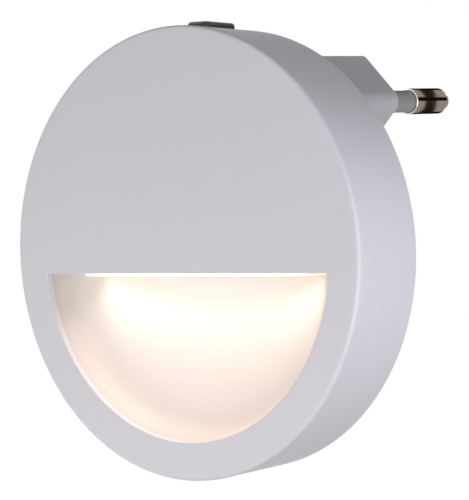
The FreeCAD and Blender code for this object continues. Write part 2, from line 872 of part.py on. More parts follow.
def make_led_leads():
    """Pair of wires from the narrow board up to the driver board."""
    wires = []
    low = led_board_level + led_board_thickness
    for side in (-1, 1):
        x = side * led_wire_spacing / 2
        points = [
            vec(x, diffuser_depth, low),
            vec(x, diffuser_depth, led_wire_level),
            vec(x, board_front_depth, led_wire_level),
        ]
        wires.append(in_disc(bent_rod(points, led_wire_radius, led_wire_bend)))
    return Part.makeCompound(wires)


def make_cover_screws():
    """Three screws through the back plate into the shell's bosses."""
    screws = []
    for angle in boss_angles:
        x, level = boss_place(angle)
        solid = screw(screw_shank_radius, screw_head_radius, screw_head_height, screw_bite)
        solid.translate(vec(x, disc_depth - screw_head_height, level))
        screws.append(in_disc(solid))
    return Part.makeCompound(screws)


def make_board_screws():
    """Two small screws that hold the driver board on its posts."""
    screws = []
    for side in (-1, 1):
        solid = screw(small_shank_radius, small_head_radius, small_head_height, small_bite + board_thickness)
        solid.translate(vec(side * board_post_x, board_rear_depth, board_post_level))
        screws.append(in_disc(solid))
    return Part.makeCompound(screws)


def make_led_board_screws():
    """Two small screws that hold the narrow board on the reflector's posts."""
    screws = []
    for side in (-1, 1):
        grip = small_bite + led_board_thickness
        solid = screw(small_shank_radius, small_head_radius, small_head_height, grip)
        solid.rotate(vec(0, 0, 0), vec(1, 0, 0), 90)
        place = side * (led_post_end() - led_post_length / 2)
        solid.translate(vec(place, diffuser_depth, led_board_level + led_board_thickness))
        screws.append(in_disc(solid))
    return Part.makeCompound(screws)


def make_retainer_screw():
    """Small screw that holds the pin retainer on the plug's middle post."""
    solid = screw(small_shank_radius, small_head_radius, small_head_height, small_bite + retainer_thickness)
    solid.rotate(vec(0, 0, 0), vec(1, 0, 0), 180)
    solid.translate(vec(0, retainer_seat() - retainer_thickness, 0))
    return solid


nodes = {
    "front_cover": make_front_cover(),
    "rear_housing": make_rear_housing(),
    "reflector": make_reflector(),
    "diffuser": make_diffuser(),
    "sensor_window": make_sensor_window(),
    "light_sensor": make_light_sensor(),
    "driver_board": make_driver_board(),
    "led_board": make_led_board(),
    "led_chips": make_led_chips(),
    "film_capacitor": make_film_capacitor(),
    "smoothing_capacitor": make_smoothing_capacitor(),
    "bridge_rectifier": make_bridge_rectifier(),
    "fuse_resistor": make_fuse_resistor(),
    "switching_transistor": make_transistor(),
    "zener_diode": make_zener_diode(),
    "chip_resistors": make_chip_resistors(),
    "live_pin": make_pin(1),
    "neutral_pin": make_pin(-1),
    "live_pin_sleeve": make_sleeve(1),
    "neutral_pin_sleeve": make_sleeve(-1),
    "pin_retainer": make_pin_retainer(),
    "live_wire": make_mains_wire(1),
    "neutral_wire": make_mains_wire(-1),
    "led_leads": make_led_leads(),
    "cover_screws": make_cover_screws(),
    "board_screws": make_board_screws(),
    "led_board_screws": make_led_board_screws(),
    "retainer_screw": make_retainer_screw(),
}

os.makedirs("parts", exist_ok=True)
for name, shape in nodes.items():
    shape.exportStep("parts/" + name + ".step")
    solids = len(shape.Solids)
    state = "valid" if shape.isValid() else "NOT VALID"
    print(f"{name}: {solids} solids, volume {shape.Volume:.1f} mm3, {state}")
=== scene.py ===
"""Looks of a round plug in night light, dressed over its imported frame.

Lengths are in metres in the frame's own axes: +Y points to the wall, +Z is up and the front faces -Y.
"""

import logging
import math
from dataclasses import dataclass
from enum import Enum
from typing import Sequence

import bmesh
import bpy
from mathutils import Matrix, Vector
from mathutils.geometry import tessellate_polygon

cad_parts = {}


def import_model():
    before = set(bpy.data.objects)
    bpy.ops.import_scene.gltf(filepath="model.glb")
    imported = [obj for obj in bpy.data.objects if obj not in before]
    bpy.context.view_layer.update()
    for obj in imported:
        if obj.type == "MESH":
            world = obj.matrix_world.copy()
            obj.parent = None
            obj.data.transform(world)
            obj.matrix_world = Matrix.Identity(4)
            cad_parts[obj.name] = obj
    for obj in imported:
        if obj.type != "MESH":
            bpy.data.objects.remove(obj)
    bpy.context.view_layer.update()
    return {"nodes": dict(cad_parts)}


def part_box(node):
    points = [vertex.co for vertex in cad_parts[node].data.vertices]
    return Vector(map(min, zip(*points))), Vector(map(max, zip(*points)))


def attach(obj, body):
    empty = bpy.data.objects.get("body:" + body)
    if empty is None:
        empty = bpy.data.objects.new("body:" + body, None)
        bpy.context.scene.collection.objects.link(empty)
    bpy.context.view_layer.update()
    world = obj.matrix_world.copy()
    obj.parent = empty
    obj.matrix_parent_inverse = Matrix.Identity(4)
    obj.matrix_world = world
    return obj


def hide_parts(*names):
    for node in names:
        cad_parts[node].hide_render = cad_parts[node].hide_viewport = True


LOG = logging.getLogger("night_light")
MM = 0.001
BODY = "root"

Colour = tuple[float, float, float]
Point = tuple[float, float]
Piece = bpy.types.Object
Material = bpy.types.Material
Socket = bpy.types.NodeSocket

AXIS_GAP = 0.02 * MM     # radius at which a turned profile ends on its axis
BEYOND = 50 * MM         # half width of a block that reaches past every piece
BELOW = -100 * MM        # level under every piece
OVER = 1 * MM            # how far a cutting block reaches past what it cuts


class Grain(Enum):
    """How a moulded surface is finished, as (size of the grain in metres, bump strength)."""

    POLISHED = (0.0009, 0.004)
    SATIN = (0.00022, 0.05)
    SPARK = (0.00038, 0.10)


class Wear(Enum):
    """How a metal surface was left, as (groove spacing in metres, bump strength, roughness swing)."""

    PLATED = (0.00030, 0.02, 0.05)
    TURNED = (0.00016, 0.12, 0.12)


class NodeSketch:
    """Adds nodes to a tree and wires them, left to right."""

    def __init__(self, tree: bpy.types.NodeTree) -> None:
        """Keep the tree that is drawn in."""
        self.tree = tree
        self.column = 0

    def add(self, kind: str, links: dict[str | int, object] | None = None,
            **settings: object) -> bpy.types.Node:
        """Add a node.

        Args:
            kind: The node's type name.
            links: Values or sockets by the input's name or index.
            **settings: Attributes of the node, set first.

        Returns:
            The new node.
        """
        node = self.tree.nodes.new(kind)
        node.location = (self.column * 190, 0)
        self.column += 1
        for name, value in settings.items():
            setattr(node, name, value)
        self.feed(node, links or {})
        return node

    def feed(self, node: bpy.types.Node, links: dict[str | int, object]) -> None:
        """Set inputs of a node to plain values, or wire them to sockets.

        Args:
            node: The node.
            links: Values or sockets by the input's name or index.
        """
        for name, value in links.items():
            if isinstance(value, Socket):
                self.tree.links.new(value, node.inputs[name])
            else:
                node.inputs[name].default_value = value

    def math(self, operation: str, *values: object) -> Socket:
        """Add a math node over up to three values and return its result."""
        return self.add("ShaderNodeMath", dict(enumerate(values)), operation=operation).outputs[0]

    def seen(self) -> Socket:
        """Add a test for rays that show a surface and don't light with it.

        Returns:
            1 for rays from the camera, in gloss and through clear things, 0 for others.
        """
        path = self.add("ShaderNodeLightPath")
        shown = self.math("MAXIMUM", path.outputs["Is Camera Ray"], path.outputs["Is Glossy Ray"])
        return self.math("MAXIMUM", shown, path.outputs["Is Transmission Ray"])


class Surface(NodeSketch):
    """A new material with its shader at hand."""

    def __init__(self, name: str) -> None:
        """Make the material.

        Args:
            name: Its name.
        """
        self.material = bpy.data.materials.new(name)
        self.material.use_nodes = True
        super().__init__(self.material.node_tree)
        self.shader = self.tree.nodes["Principled BSDF"]

    def place(self) -> Socket:
        """Add the object's own coordinates."""
        return self.add("ShaderNodeTexCoord").outputs["Object"]

    def noise(self, scale: float, detail: float) -> Socket:
        """Add a noise of 0 to 1 in the object's own coordinates."""
        links = {"Vector": self.place(), "Scale": scale, "Detail": detail}
        return self.add("ShaderNodeTexNoise", links).outputs["Fac"]

    def swing(self, source: Socket, middle: float, width: float) -> Socket:
        """Spread a noise evenly about a middle value."""
        return self.math("MULTIPLY_ADD", source, width, middle - width / 2)

    def bump(self, height: Socket, strength: float, distance: float) -> None:
        """Tilt the shader's normal by a height."""
        links = {"Height": height, "Strength": strength, "Distance": distance}
        self.feed(self.shader, {"Normal": self.add("ShaderNodeBump", links).outputs["Normal"]})

    def blend(self, share: Socket, low: Colour, high: Colour) -> Socket:
        """Mix two colours by a share."""
        links = {0: share, 6: (*low, 1.0), 7: (*high, 1.0)}
        return self.add("ShaderNodeMix", links, data_type="RGBA").outputs[2]


@dataclass(frozen=True)
class Plastic:
    """Moulded or cast plastic, plain or a little see through."""

    name: str
    colour: Colour
    roughness: float
    cloud: float
    coat: float = 0.0
    grain: Grain = Grain.SATIN
    cloud_scale: float = 90.0
    gloss_swing: float = 0.08
    grain_height: float = 0.05 * MM

    def build(self) -> Material:
        """Make the material.

        Returns:
            A procedural material with a fine grain and faint clouds in its colour and gloss.
        """
        surface = Surface(self.name)
        size, strength = self.grain.value
        cloud = surface.noise(self.cloud_scale, 3.0)
        low, high = (tuple(min(part * share, 1) for part in self.colour)
                     for share in (1 - self.cloud, 1 + self.cloud))
        surface.bump(surface.noise(1 / size, 2.0), strength, self.grain_height)
        surface.feed(surface.shader, {
            "Base Color": surface.blend(cloud, low, high), "Coat Weight": self.coat,
            "Roughness": surface.swing(cloud, self.roughness, self.gloss_swing)})
        return surface.material


@dataclass(frozen=True)
class Metal:
    """Bare or plated metal."""

    name: str
    colour: Colour
    roughness: float
    wear: Wear
    cloud_scale: float = 420.0
    groove_depth: float = 0.01 * MM

    def build(self) -> Material:
        """Make the material.

        Returns:
            A procedural metal with fine turning marks along the pins' axis and faint gloss clouds.
        """
        surface = Surface(self.name)
        spacing, strength, swing = self.wear.value
        marks = surface.add("ShaderNodeTexWave", {
            "Vector": surface.place(), "Scale": 0.3 / spacing, "Distortion": 1.5, "Detail": 2.0},
            wave_type="BANDS", bands_direction="Y")
        surface.bump(marks.outputs["Fac"], strength, self.groove_depth)
        surface.feed(surface.shader, {
            "Base Color": (*self.colour, 1.0), "Metallic": 1.0,
            "Roughness": surface.swing(surface.noise(self.cloud_scale, 4.0), self.roughness, swing)})
        return surface.material


@dataclass(frozen=True)
class Smoked:
    """Dark see through plastic with a polished face."""

    name: str
    colour: Colour
    roughness: float
    clear: float
    flow_scale: float = 380.0
    flow_swing: float = 0.06
    refraction: float = 1.49
    gloss: float = 0.30

    def build(self) -> Material:
        """Make the material.

        Returns:
            A tinted, partly clear material with faint flow marks in its gloss.
        """
        surface = Surface(self.name)
        flow = surface.noise(self.flow_scale, 3.0)
        surface.feed(surface.shader, {
            "Base Color": (*self.colour, 1.0), "Transmission Weight": self.clear, "IOR": self.refraction,
            "Specular IOR Level": self.gloss,
            "Roughness": surface.math("MULTIPLY_ADD", flow, self.flow_swing, self.roughness)})
        return surface.material


@dataclass(frozen=True)
class Glow:
    """Frosted plastic lit from behind by a row of light sources."""

    name: str
    colour: Colour
    end_colour: Colour
    strength: float
    pitch: float
    reach: float
    fade: float = 0.80
    ripple: float = 0.08
    frost: Colour = (0.956, 0.9047, 0.807)
    roughness: float = 0.55

    def build(self) -> Material:
        """Make the material.

        Returns:
            A glowing material, a little brighter under each light source and dimmer at the row's ends.
        """
        surface = Surface(self.name)
        along = surface.add("ShaderNodeSeparateXYZ", {"Vector": surface.place()}).outputs["X"]
        wave = surface.math("COSINE", surface.math("MULTIPLY", along, 2 * math.pi / self.pitch))
        even = surface.math("MULTIPLY_ADD", wave, self.strength * self.ripple, self.strength)
        share = surface.math("MULTIPLY", along, 1 / self.reach)
        square = surface.math("MULTIPLY", share, share)
        fall = surface.math("MULTIPLY_ADD", square, -self.fade, 1.0)
        surface.feed(surface.shader, {
            "Base Color": (*self.frost, 1.0), "Roughness": self.roughness,
            "Emission Color": surface.blend(square, self.colour, self.end_colour),
            "Emission Strength": surface.math("MULTIPLY", even, fall)})
        return surface.material


SHELL_PLASTIC = Plastic("shell_plastic", (0.70, 0.70, 0.745), 0.46, 0.012)
SCOOP_PLASTIC = Plastic("scoop_plastic", (0.62, 0.585, 0.555), 0.50, 0.01)
SLEEVE_PLASTIC = Plastic("sleeve_plastic", (0.47, 0.455, 0.46), 0.40, 0.02)
PIN_METAL = Metal("pin_nickel", (0.66, 0.63, 0.60), 0.10, Wear.PLATED)
SCREW_METAL = Metal("screw_zinc", (0.40, 0.405, 0.42), 0.38, Wear.TURNED)
WINDOW_SMOKED = Smoked("window_smoked", (0.11, 0.11, 0.115), 0.18, 0.20)
DIFFUSER_GLOW = Glow("diffuser_glow", (1.0, 0.98, 0.90), (1.0, 0.66, 0.42), 3.6, 8.98 * MM, 22.5 * MM)
LIGHT_CHIP = Plastic("light_chip", (0.80, 0.66, 0.20), 0.30, 0.05, 0.2)
INNER_FINISHES: dict[str, Plastic] = {
    "light_sensor": Plastic("sensor_disc", (0.42, 0.16, 0.06), 0.35, 0.10, 0.3, grain=Grain.SPARK),
    "driver_board": Plastic("board_white", (0.70, 0.73, 0.68), 0.35, 0.04, 0.3),
    "led_board": Plastic("strip_board", (0.82, 0.83, 0.80), 0.30, 0.02, 0.3),
    "film_capacitor": Plastic("film_case", (0.55, 0.36, 0.04), 0.30, 0.05, 0.4, grain=Grain.POLISHED),
    "smoothing_capacitor": Plastic("can_sleeve", (0.015, 0.02, 0.035), 0.30, 0.05, 0.5, grain=Grain.POLISHED),
    "bridge_rectifier": Plastic("bridge_mould", (0.014, 0.014, 0.015), 0.50, 0.10, grain=Grain.SPARK),
    "switching_transistor": Plastic("transistor_mould", (0.016, 0.016, 0.017), 0.50, 0.10, grain=Grain.SPARK),
    "zener_diode": Plastic("diode_mould", (0.013, 0.013, 0.014), 0.45, 0.10, grain=Grain.SPARK),
    "chip_resistors": Plastic("resistor_body", (0.020, 0.020, 0.024), 0.35, 0.12),
    "fuse_resistor": Plastic("fuse_body", (0.05, 0.15, 0.13), 0.40, 0.08),
    "pin_retainer": Plastic("retainer_plastic", (0.62, 0.60, 0.58), 0.50, 0.02),
    "live_wire": Plastic("wire_brown", (0.11, 0.035, 0.012), 0.40, 0.05),
    "neutral_wire": Plastic("wire_blue", (0.012, 0.045, 0.23), 0.40, 0.05),
    "led_leads": Plastic("wire_white", (0.68, 0.68, 0.66), 0.45, 0.04),
}


def clean(mesh: bpy.types.Mesh, merge: float, flat: float) -> None:
    """Merge doubles, drop edges without length and turn the faces outwards.

    Args:
        mesh: The mesh to clean.
        merge: Distance under which two corners are one.
        flat: Length under which an edge goes.
    """
    work = bmesh.new()
    work.from_mesh(mesh)
    bmesh.ops.remove_doubles(work, verts=work.verts, dist=merge)
    bmesh.ops.dissolve_degenerate(work, edges=work.edges, dist=flat)
    bmesh.ops.recalc_face_normals(work, faces=work.faces)
    work.to_mesh(mesh)
    work.free()


def mesh_object(name: str, points: Sequence[Sequence[float]], faces: Sequence[Sequence[int]]) -> Piece:
    """Make an object from points and faces and link it to the scene.

    Args:
        name: The piece's name.
        points: Corners in the frame's axes, in metres.
        faces: Corner indices of each face.

    Returns:
        The new object, with doubles merged and its faces pointing outwards.
    """
    mesh = bpy.data.meshes.new(name)
    mesh.from_pydata([tuple(point) for point in points], [], [tuple(face) for face in faces])
    if faces:
        clean(mesh, 1e-7, 1e-8)
    piece = bpy.data.objects.new(name, mesh)
    bpy.context.scene.collection.objects.link(piece)
    return piece


def dress_new(piece: Piece, crease: float, material: Material, node: str) -> None:
    """Shade a new piece, give it its material and body, and hide the frame node that it stands for.

    Args:
        piece: The finished piece.
        crease: Turn between two faces, in degrees, above which their edge stays sharp.
        material: Its material.
        node: Frame node that it replaces.
    """
    piece.data.shade_smooth()
    piece.data.set_sharp_from_angle(angle=math.radians(crease))
    piece.data.materials.clear()
    piece.data.materials.append(material)
    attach(piece, BODY)
    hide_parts(node)
    LOG.info("%s: %d faces", piece.name, len(piece.data.polygons))


def bake(piece: Piece) -> None:
    """Turn a piece's modifiers into plain mesh and remove them.

    Args:
        piece: The piece.
    """
    graph = bpy.context.evaluated_depsgraph_get()
    graph.update()
    mesh = bpy.data.meshes.new_from_object(piece.evaluated_get(graph), depsgraph=graph)
    piece.modifiers.clear()
    old = piece.data
    piece.data = mesh
    bpy.data.meshes.remove(old)
    mesh.name = piece.name


def loft(name: str, loops: Sequence[Sequence[Vector]], closed: bool) -> Piece:
    """Join loops of equal length by quads.

    Args:
        name: The piece's name.
        loops: The loops, in order, each a closed ring of points.
        closed: Whether the last loop joins the first.

    Returns:
        The lofted piece, capped at both ends where it isn't closed.
    """
    count = len(loops[0])
    points = [point for ring in loops for point in ring]
    faces: list[Sequence[int]] = []
    pairs = len(loops) if closed else len(loops) - 1
    for row in range(pairs):
        here = row * count
        there = ((row + 1) % len(loops)) * count
        for index in range(count):
            after = (index + 1) % count
            faces.append((here + index, here + after, there + after, there + index))
    if not closed:
        faces.append(tuple(range(count)))
        faces.append(tuple(range((len(loops) - 1) * count, len(loops) * count)))
    return mesh_object(name, points, faces)


def unit_circle(steps: int) -> list[Point]:
    """Points of a circle of radius 1, evenly spaced."""
    turns = [2 * math.pi * step / steps for step in range(steps)]
    return [(math.cos(turn), math.sin(turn)) for turn in turns]


def lathe(name: str, profile: Sequence[Point], steps: int, place: Matrix) -> Piece:
    """Turn a profile about the Y axis.

    Args:
        name: The piece's name.
        profile: Points (radius, y) from one end of the axis to the other.
        steps: Steps round the axis.
        place: Where the turned shape goes.

    Returns:
        The turned piece.
    """
    ring = unit_circle(steps)
    loops = [[place @ Vector((radius * x, height, radius * z)) for x, z in ring]
             for radius, height in profile]
    return loft(name, loops, closed=False)


def arc_points(centre: Point, radius: float, start: float, end: float, steps: int) -> list[Point]:
    """Points along an arc.

    Args:
        centre: Centre of the arc.
        radius: Radius of the arc.
        start: First angle, in degrees.
        end: Last angle, in degrees.
        steps: Steps along the arc.

    Returns:
        The points, both ends among them.
    """
    turns = [math.radians(start + (end - start) * step / steps) for step in range(steps + 1)]
    return [(centre[0] + radius * math.cos(turn), centre[1] + radius * math.sin(turn)) for turn in turns]


def plate(name: str, outline: Sequence[Vector], step: Vector) -> Piece:
    """Make a flat plate.

    Args:
        name: The piece's name.
        outline: Its corners, in one plane.
        step: The way and distance that the plate is thick.

    Returns:
        The closed plate.
    """
    points = list(outline)
    count = len(points)
    triangles = tessellate_polygon([points])
    faces = [tuple(triangle) for triangle in triangles]
    faces += [tuple(index + count for index in reversed(triangle)) for triangle in triangles]
    for here in range(count):
        after = (here + 1) % count
        faces.append((here, after, after + count, here + count))
    return mesh_object(name, points + [point + step for point in points], faces)


class ShapeTree(NodeSketch):
    """A geometry nodes tree with named sizes, run over the points that a piece starts from."""

    def __init__(self, name: str) -> None:
        """Make the tree with its geometry input and output.

        Args:
            name: Its name.
        """
        super().__init__(bpy.data.node_groups.new(name, "GeometryNodeTree"))
        for end, way in (("Base", "INPUT"), ("Shape", "OUTPUT")):
            self.tree.interface.new_socket(end, in_out=way, socket_type="NodeSocketGeometry")
        self.entry = self.add("NodeGroupInput")
        self.values: dict[str, float] = {}

    @property
    def base(self) -> Socket:
        """The geometry that the piece starts from."""
        return self.entry.outputs[0]

    def size(self, name: str, value: float) -> Socket:
        """Add a named size.

        Args:
            name: The input's name.
            value: Its value on this piece.

        Returns:
            The socket that carries it.
        """
        item = self.tree.interface.new_socket(name, in_out="INPUT", socket_type="NodeSocketFloat")
        self.values[item.identifier] = value
        return next(socket for socket in self.entry.outputs if socket.identifier == item.identifier)

    def vector(self, x: object, y: object, z: object) -> Socket:
        """Join three numbers to a vector."""
        return self.add("ShaderNodeCombineXYZ", {"X": x, "Y": y, "Z": z}).outputs[0]

    def block(self, low: Sequence[object], high: Sequence[object]) -> Socket:
        """Add a block between two corners.

        Args:
            low: Its low corner, as numbers or sockets.
            high: Its high corner.

        Returns:
            The closed block.
        """
        span = [self.math("SUBTRACT", b, a) for a, b in zip(low, high)]
        middle = [self.math("MULTIPLY", self.math("ADD", a, b), 0.5) for a, b in zip(low, high)]
        cube = self.add("GeometryNodeMeshCube", {"Size": self.vector(*span)})
        return self.move(cube.outputs["Mesh"], self.vector(*middle))

    def move(self, shape: Socket, by: object, turn: tuple[float, float, float] = (0, 0, 0)) -> Socket:
        """Turn and move a shape."""
        links = {"Geometry": shape, "Translation": by, "Rotation": turn}
        return self.add("GeometryNodeTransform", links).outputs["Geometry"]

    def combine(self, operation: str, first: Socket, *others: Socket) -> Socket:
        """Unite, intersect or subtract closed shapes.

        Args:
            operation: UNION, INTERSECT or DIFFERENCE.
            first: The first shape, which the others are cut from in a DIFFERENCE.
            *others: The other shapes.

        Returns:
            The closed result.
        """
        node = self.add("GeometryNodeMeshBoolean", operation=operation, solver="EXACT")
        lone = operation == "DIFFERENCE"
        self.tree.links.new(first, node.inputs["Mesh 1" if lone else "Mesh 2"])
        for other in others:
            self.tree.links.new(other, node.inputs["Mesh 2"])
        return node.outputs["Mesh"]

    def grow(self, name: str, points: Sequence[Sequence[float]], shape: Socket, material: Material) -> Piece:
        """End the tree and make a piece by running it over some points.

        Args:
            name: The piece's name.
            points: The points that the tree starts from.
            shape: The finished shape in the tree.
            material: The piece's material.

        Returns:
            The piece as a plain mesh.
        """
        real = self.add("GeometryNodeRealizeInstances", {"Geometry": shape})
        dressed = self.add("GeometryNodeSetMaterial", {"Geometry": real.outputs[0], "Material": material})
        self.add("NodeGroupOutput", {0: dressed.outputs[0]})
        piece = mesh_object(name, points, [])
        modifier = piece.modifiers.new("shape", "NODES")
        modifier.node_group = self.tree
        for identifier, value in self.values.items():
            modifier[identifier] = value
        bake(piece)
        clean(piece.data, 2e-7, 1e-7)
        return piece


@dataclass
class Disc:
    """Places on the round shell, read from the frame, with levels measured from its axis."""

    radius: float
    front: float
    depth: float
    axis: float
    draft: float = 0.7 * MM

    @classmethod
    def from_frame(cls) -> "Disc":
        """Read the shell's size and place from the frame's front cover."""
        low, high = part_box("front_cover")
        return cls((high.x - low.x) / 2, low.y, high.y - low.y, low.z + (high.z - low.z) / 2)

    def at(self, x: float, depth: float, level: float) -> Vector:
        """Point at x, a depth behind the front plane and a level above the shell's axis."""
        return Vector((x, self.front + depth, self.axis + level))

    def rim(self, depth: float) -> float:
        """Radius of the drafted rim at a depth."""
        return self.radius - self.draft * depth / self.depth


@dataclass
class HalfMoon:
    """Outline of the opening: a circle cut by a level chord under the axis."""

    radius: float = 27.8 * MM
    chord_drop: float = 2.94 * MM
    centre_drop: float = 13.0 * MM
    chord_steps: int = 96
    arc_steps: int = 168

    def rays(self) -> list[float]:
        """Ray angles from the outline's middle, with a ray through each corner.

        Returns:
            Angles in radians, from the right hand corner over the top and round the bottom.
        """
        reach = math.sqrt(self.radius ** 2 - self.chord_drop ** 2)
        corner = math.atan2(self.centre_drop - self.chord_drop, reach)
        over, under = math.pi - 2 * corner, math.pi + 2 * corner
        chord = [corner + over * step / self.chord_steps for step in range(self.chord_steps)]
        return chord + [math.pi - corner + under * step / self.arc_steps for step in range(self.arc_steps)]

    def on_circle(self, angle: float, radius: float) -> Point:
        """Where a ray from the outline's middle meets a circle about the shell's axis.

        Args:
            angle: The ray's angle.
            radius: The circle's radius.

        Returns:
            The point (x, level).
        """
        along_x, along_z = math.cos(angle), math.sin(angle)
        half = -self.centre_drop * along_z
        reach = -half + math.sqrt(half ** 2 - self.centre_drop ** 2 + radius ** 2)
        return reach * along_x, -self.centre_drop + reach * along_z

    def on_outline(self, angle: float, grow: float, index: int) -> Point:
        """Where a ray meets the outline grown by an amount.

        Args:
            angle: The ray's angle.
            grow: How far the outline is moved outwards.
            index: The ray's number, which tells chord from arc.

        Returns:
            The point (x, level).
        """
        level = -self.chord_drop + grow
        radius = self.radius + grow
        if index in (0, self.chord_steps):
            reach = math.sqrt(radius ** 2 - level ** 2)
            return (reach if index == 0 else -reach), level
        if index < self.chord_steps:
            reach = (level + self.centre_drop) / math.sin(angle)
            return reach * math.cos(angle), level
        return self.on_circle(angle, radius)

    def loop(self, disc: Disc, grow: float, depth: float) -> list[Vector]:
        """Outline loop, grown by an amount, at a depth."""
        spots = [self.on_outline(angle, grow, index) for index, angle in enumerate(self.rays())]
        return [disc.at(x, depth, level) for x, level in spots]

    def circle(self, disc: Disc, radius: float, depth: float) -> list[Vector]:
        """Circle loop with its points on the same rays."""
        spots = [self.on_circle(angle, radius) for angle in self.rays()]
        return [disc.at(x, depth, level) for x, level in spots]


@dataclass
class FrontShell:
    """The cup shaped front cover with its half moon opening."""

    disc: Disc
    moon: HalfMoon
    edge_round: float = 0.55 * MM
    lip_round: float = 0.12 * MM
    lip: float = 1.0 * MM
    face: float = 1.6 * MM
    wall: float = 1.6 * MM
    back_round: float = 0.15 * MM
    rebate: float = 1.65 * MM
    window_gap: float = 0.08 * MM
    boss_angles: tuple[float, ...] = (40.0, 140.0, 270.0)
    boss_circle: float = 28.3 * MM
    boss_radius: float = 1.9 * MM
    boss_end: float = 12.2 * MM
    boss_bore: tuple[float, float] = (1.05 * MM, 6.7 * MM)
    low_boss_start: float = 6.3 * MM
    rib: float = 1.2 * MM
    post_place: Point = (17.23 * MM, 8.0 * MM)
    post_radius: float = 2.2 * MM
    post_end: float = 7.2 * MM
    post_bore: tuple[float, float] = (0.65 * MM, 4.4 * MM)
    sink: float = 0.2 * MM
    rib_inset: float = 0.01 * MM
    post_steps: int = 48
    window_half: float = 2.1 * MM
    window_corner: float = 1.0 * MM
    window_reach: float = 6.0 * MM
    face_shares: tuple[float, ...] = (0.02, 0.25, 0.5, 0.75, 0.98)
    rim_shares: tuple[float, ...] = (0.08, 0.4, 0.7, 0.97)

    def loops(self) -> list[list[Vector]]:
        """Loops from the lip over the face and the rim to the inside and back to the lip.

        Returns:
            Loops of equal length that close on themselves.
        """
        disc, moon = self.disc, self.moon
        lip = self.lip_round
        rounding = [(0, self.lip), (0, self.lip * 0.5)] + arc_points((lip, lip), lip, 180, 270, 4)
        loops = [moon.loop(disc, grow, depth) for grow, depth in rounding]
        inner = loops[-1]
        edge, back = disc.radius - self.edge_round, disc.rim(disc.depth)
        outer = moon.circle(disc, edge, 0)
        loops += [[start.lerp(end, share) for start, end in zip(inner, outer)] for share in self.face_shares]
        rings = arc_points((edge, self.edge_round), self.edge_round, -90, 0, 8)
        rings += [(disc.rim(disc.depth * share), disc.depth * share) for share in self.rim_shares]
        rings += arc_points((back - self.back_round, disc.depth - self.back_round), self.back_round, 0, 90, 3)
        rings += [(back - self.wall, disc.depth), (disc.rim(self.face) - self.wall, self.face)]
        loops += [moon.circle(disc, radius, depth) for radius, depth in rings]
        return loops + [moon.loop(disc, self.rebate, self.face), moon.loop(disc, self.rebate, self.lip)]

    def window_cutter(self) -> Piece:
        """Make the block that cuts the sensor window's hole, from the frame's own window.

        Returns:
            The block.
        """
        low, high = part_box("sensor_window")
        middle = (low + high) / 2
        half_x = self.window_half + self.window_gap - self.window_corner
        half_y = (high.y - low.y) / 2 + self.window_gap - self.window_corner
        outline = []
        for side_x, side_y, start in ((1, 1, 0), (-1, 1, 90), (-1, -1, 180), (1, -1, 270)):
            centre = (side_x * half_x, side_y * half_y)
            outline += arc_points(centre, self.window_corner, start, start + 90, 8)
        points = [Vector((x, middle.y + y, middle.z - self.window_reach)) for x, y in outline]
        return plate("window_cutter", points, Vector((0, 0, 2 * self.window_reach)))

    def post(self, name: str, place: Point, radius: float, span: Point, bore: Point) -> Piece:
        """Round post with a screw hole in its rear end.

        Args:
            name: The post's name.
            place: Its x and level.
            radius: Its radius.
            span: Depths of its front and rear ends.
            bore: Radius of the hole and the depth of its bottom.

        Returns:
            The post.
        """
        profile = [(AXIS_GAP, span[0]), (radius, span[0]), (radius, span[1]), (bore[0], span[1]),
                   (bore[0], bore[1]), (AXIS_GAP, bore[1])]
        return lathe(name, profile, self.post_steps, Matrix.Translation(self.disc.at(place[0], 0, place[1])))

    def supports(self) -> list[Piece]:
        """Make the screw bosses, the ribs that tie them to the rim, and the posts of the driver board.

        Returns:
            The closed shapes, each a little sunk into its neighbour.
        """
        pieces = []
        reach = self.disc.rim(self.disc.depth) - self.wall / 2
        root = self.face - self.sink
        for angle in self.boss_angles:
            turn = math.radians(angle)
            way = Vector((math.cos(turn), 0, math.sin(turn)))
            across = Vector((-way.z, 0, way.x)) * self.rib / 2
            start = self.low_boss_start if way.z < 0 else root
            place = (self.boss_circle * way.x, self.boss_circle * way.z)
            pieces.append(self.post("boss", place, self.boss_radius, (start, self.boss_end), self.boss_bore))
            front = self.disc.at(0, start + self.rib_inset, 0)
            inner = self.boss_circle + (self.boss_radius + self.boss_bore[0]) / 2
            outline = [front + way * inner - across, front + way * reach - across,
                       front + way * reach + across, front + way * inner + across]
            pieces.append(plate("rib", outline, Vector((0, self.boss_end - start - 2 * self.rib_inset, 0))))
        for side in (-1, 1):
            place = (side * self.post_place[0], self.post_place[1])
            pieces.append(self.post("post", place, self.post_radius, (root, self.post_end), self.post_bore))
        return pieces

    def build(self) -> None:
        """Make the shell and dress it."""
        shell = loft("front_shell", self.loops(), closed=True)
        tools = [(self.window_cutter(), "DIFFERENCE")] + [(piece, "UNION") for piece in self.supports()]
        for tool, operation in tools:
            join = shell.modifiers.new(tool.name, "BOOLEAN")
            join.operation = operation
            join.object = tool
            join.solver = "EXACT"
        bake(shell)
        for tool, _ in tools:
            bpy.data.objects.remove(tool)
        dress_new(shell, 28, SHELL_PLASTIC.build(), "front_cover")


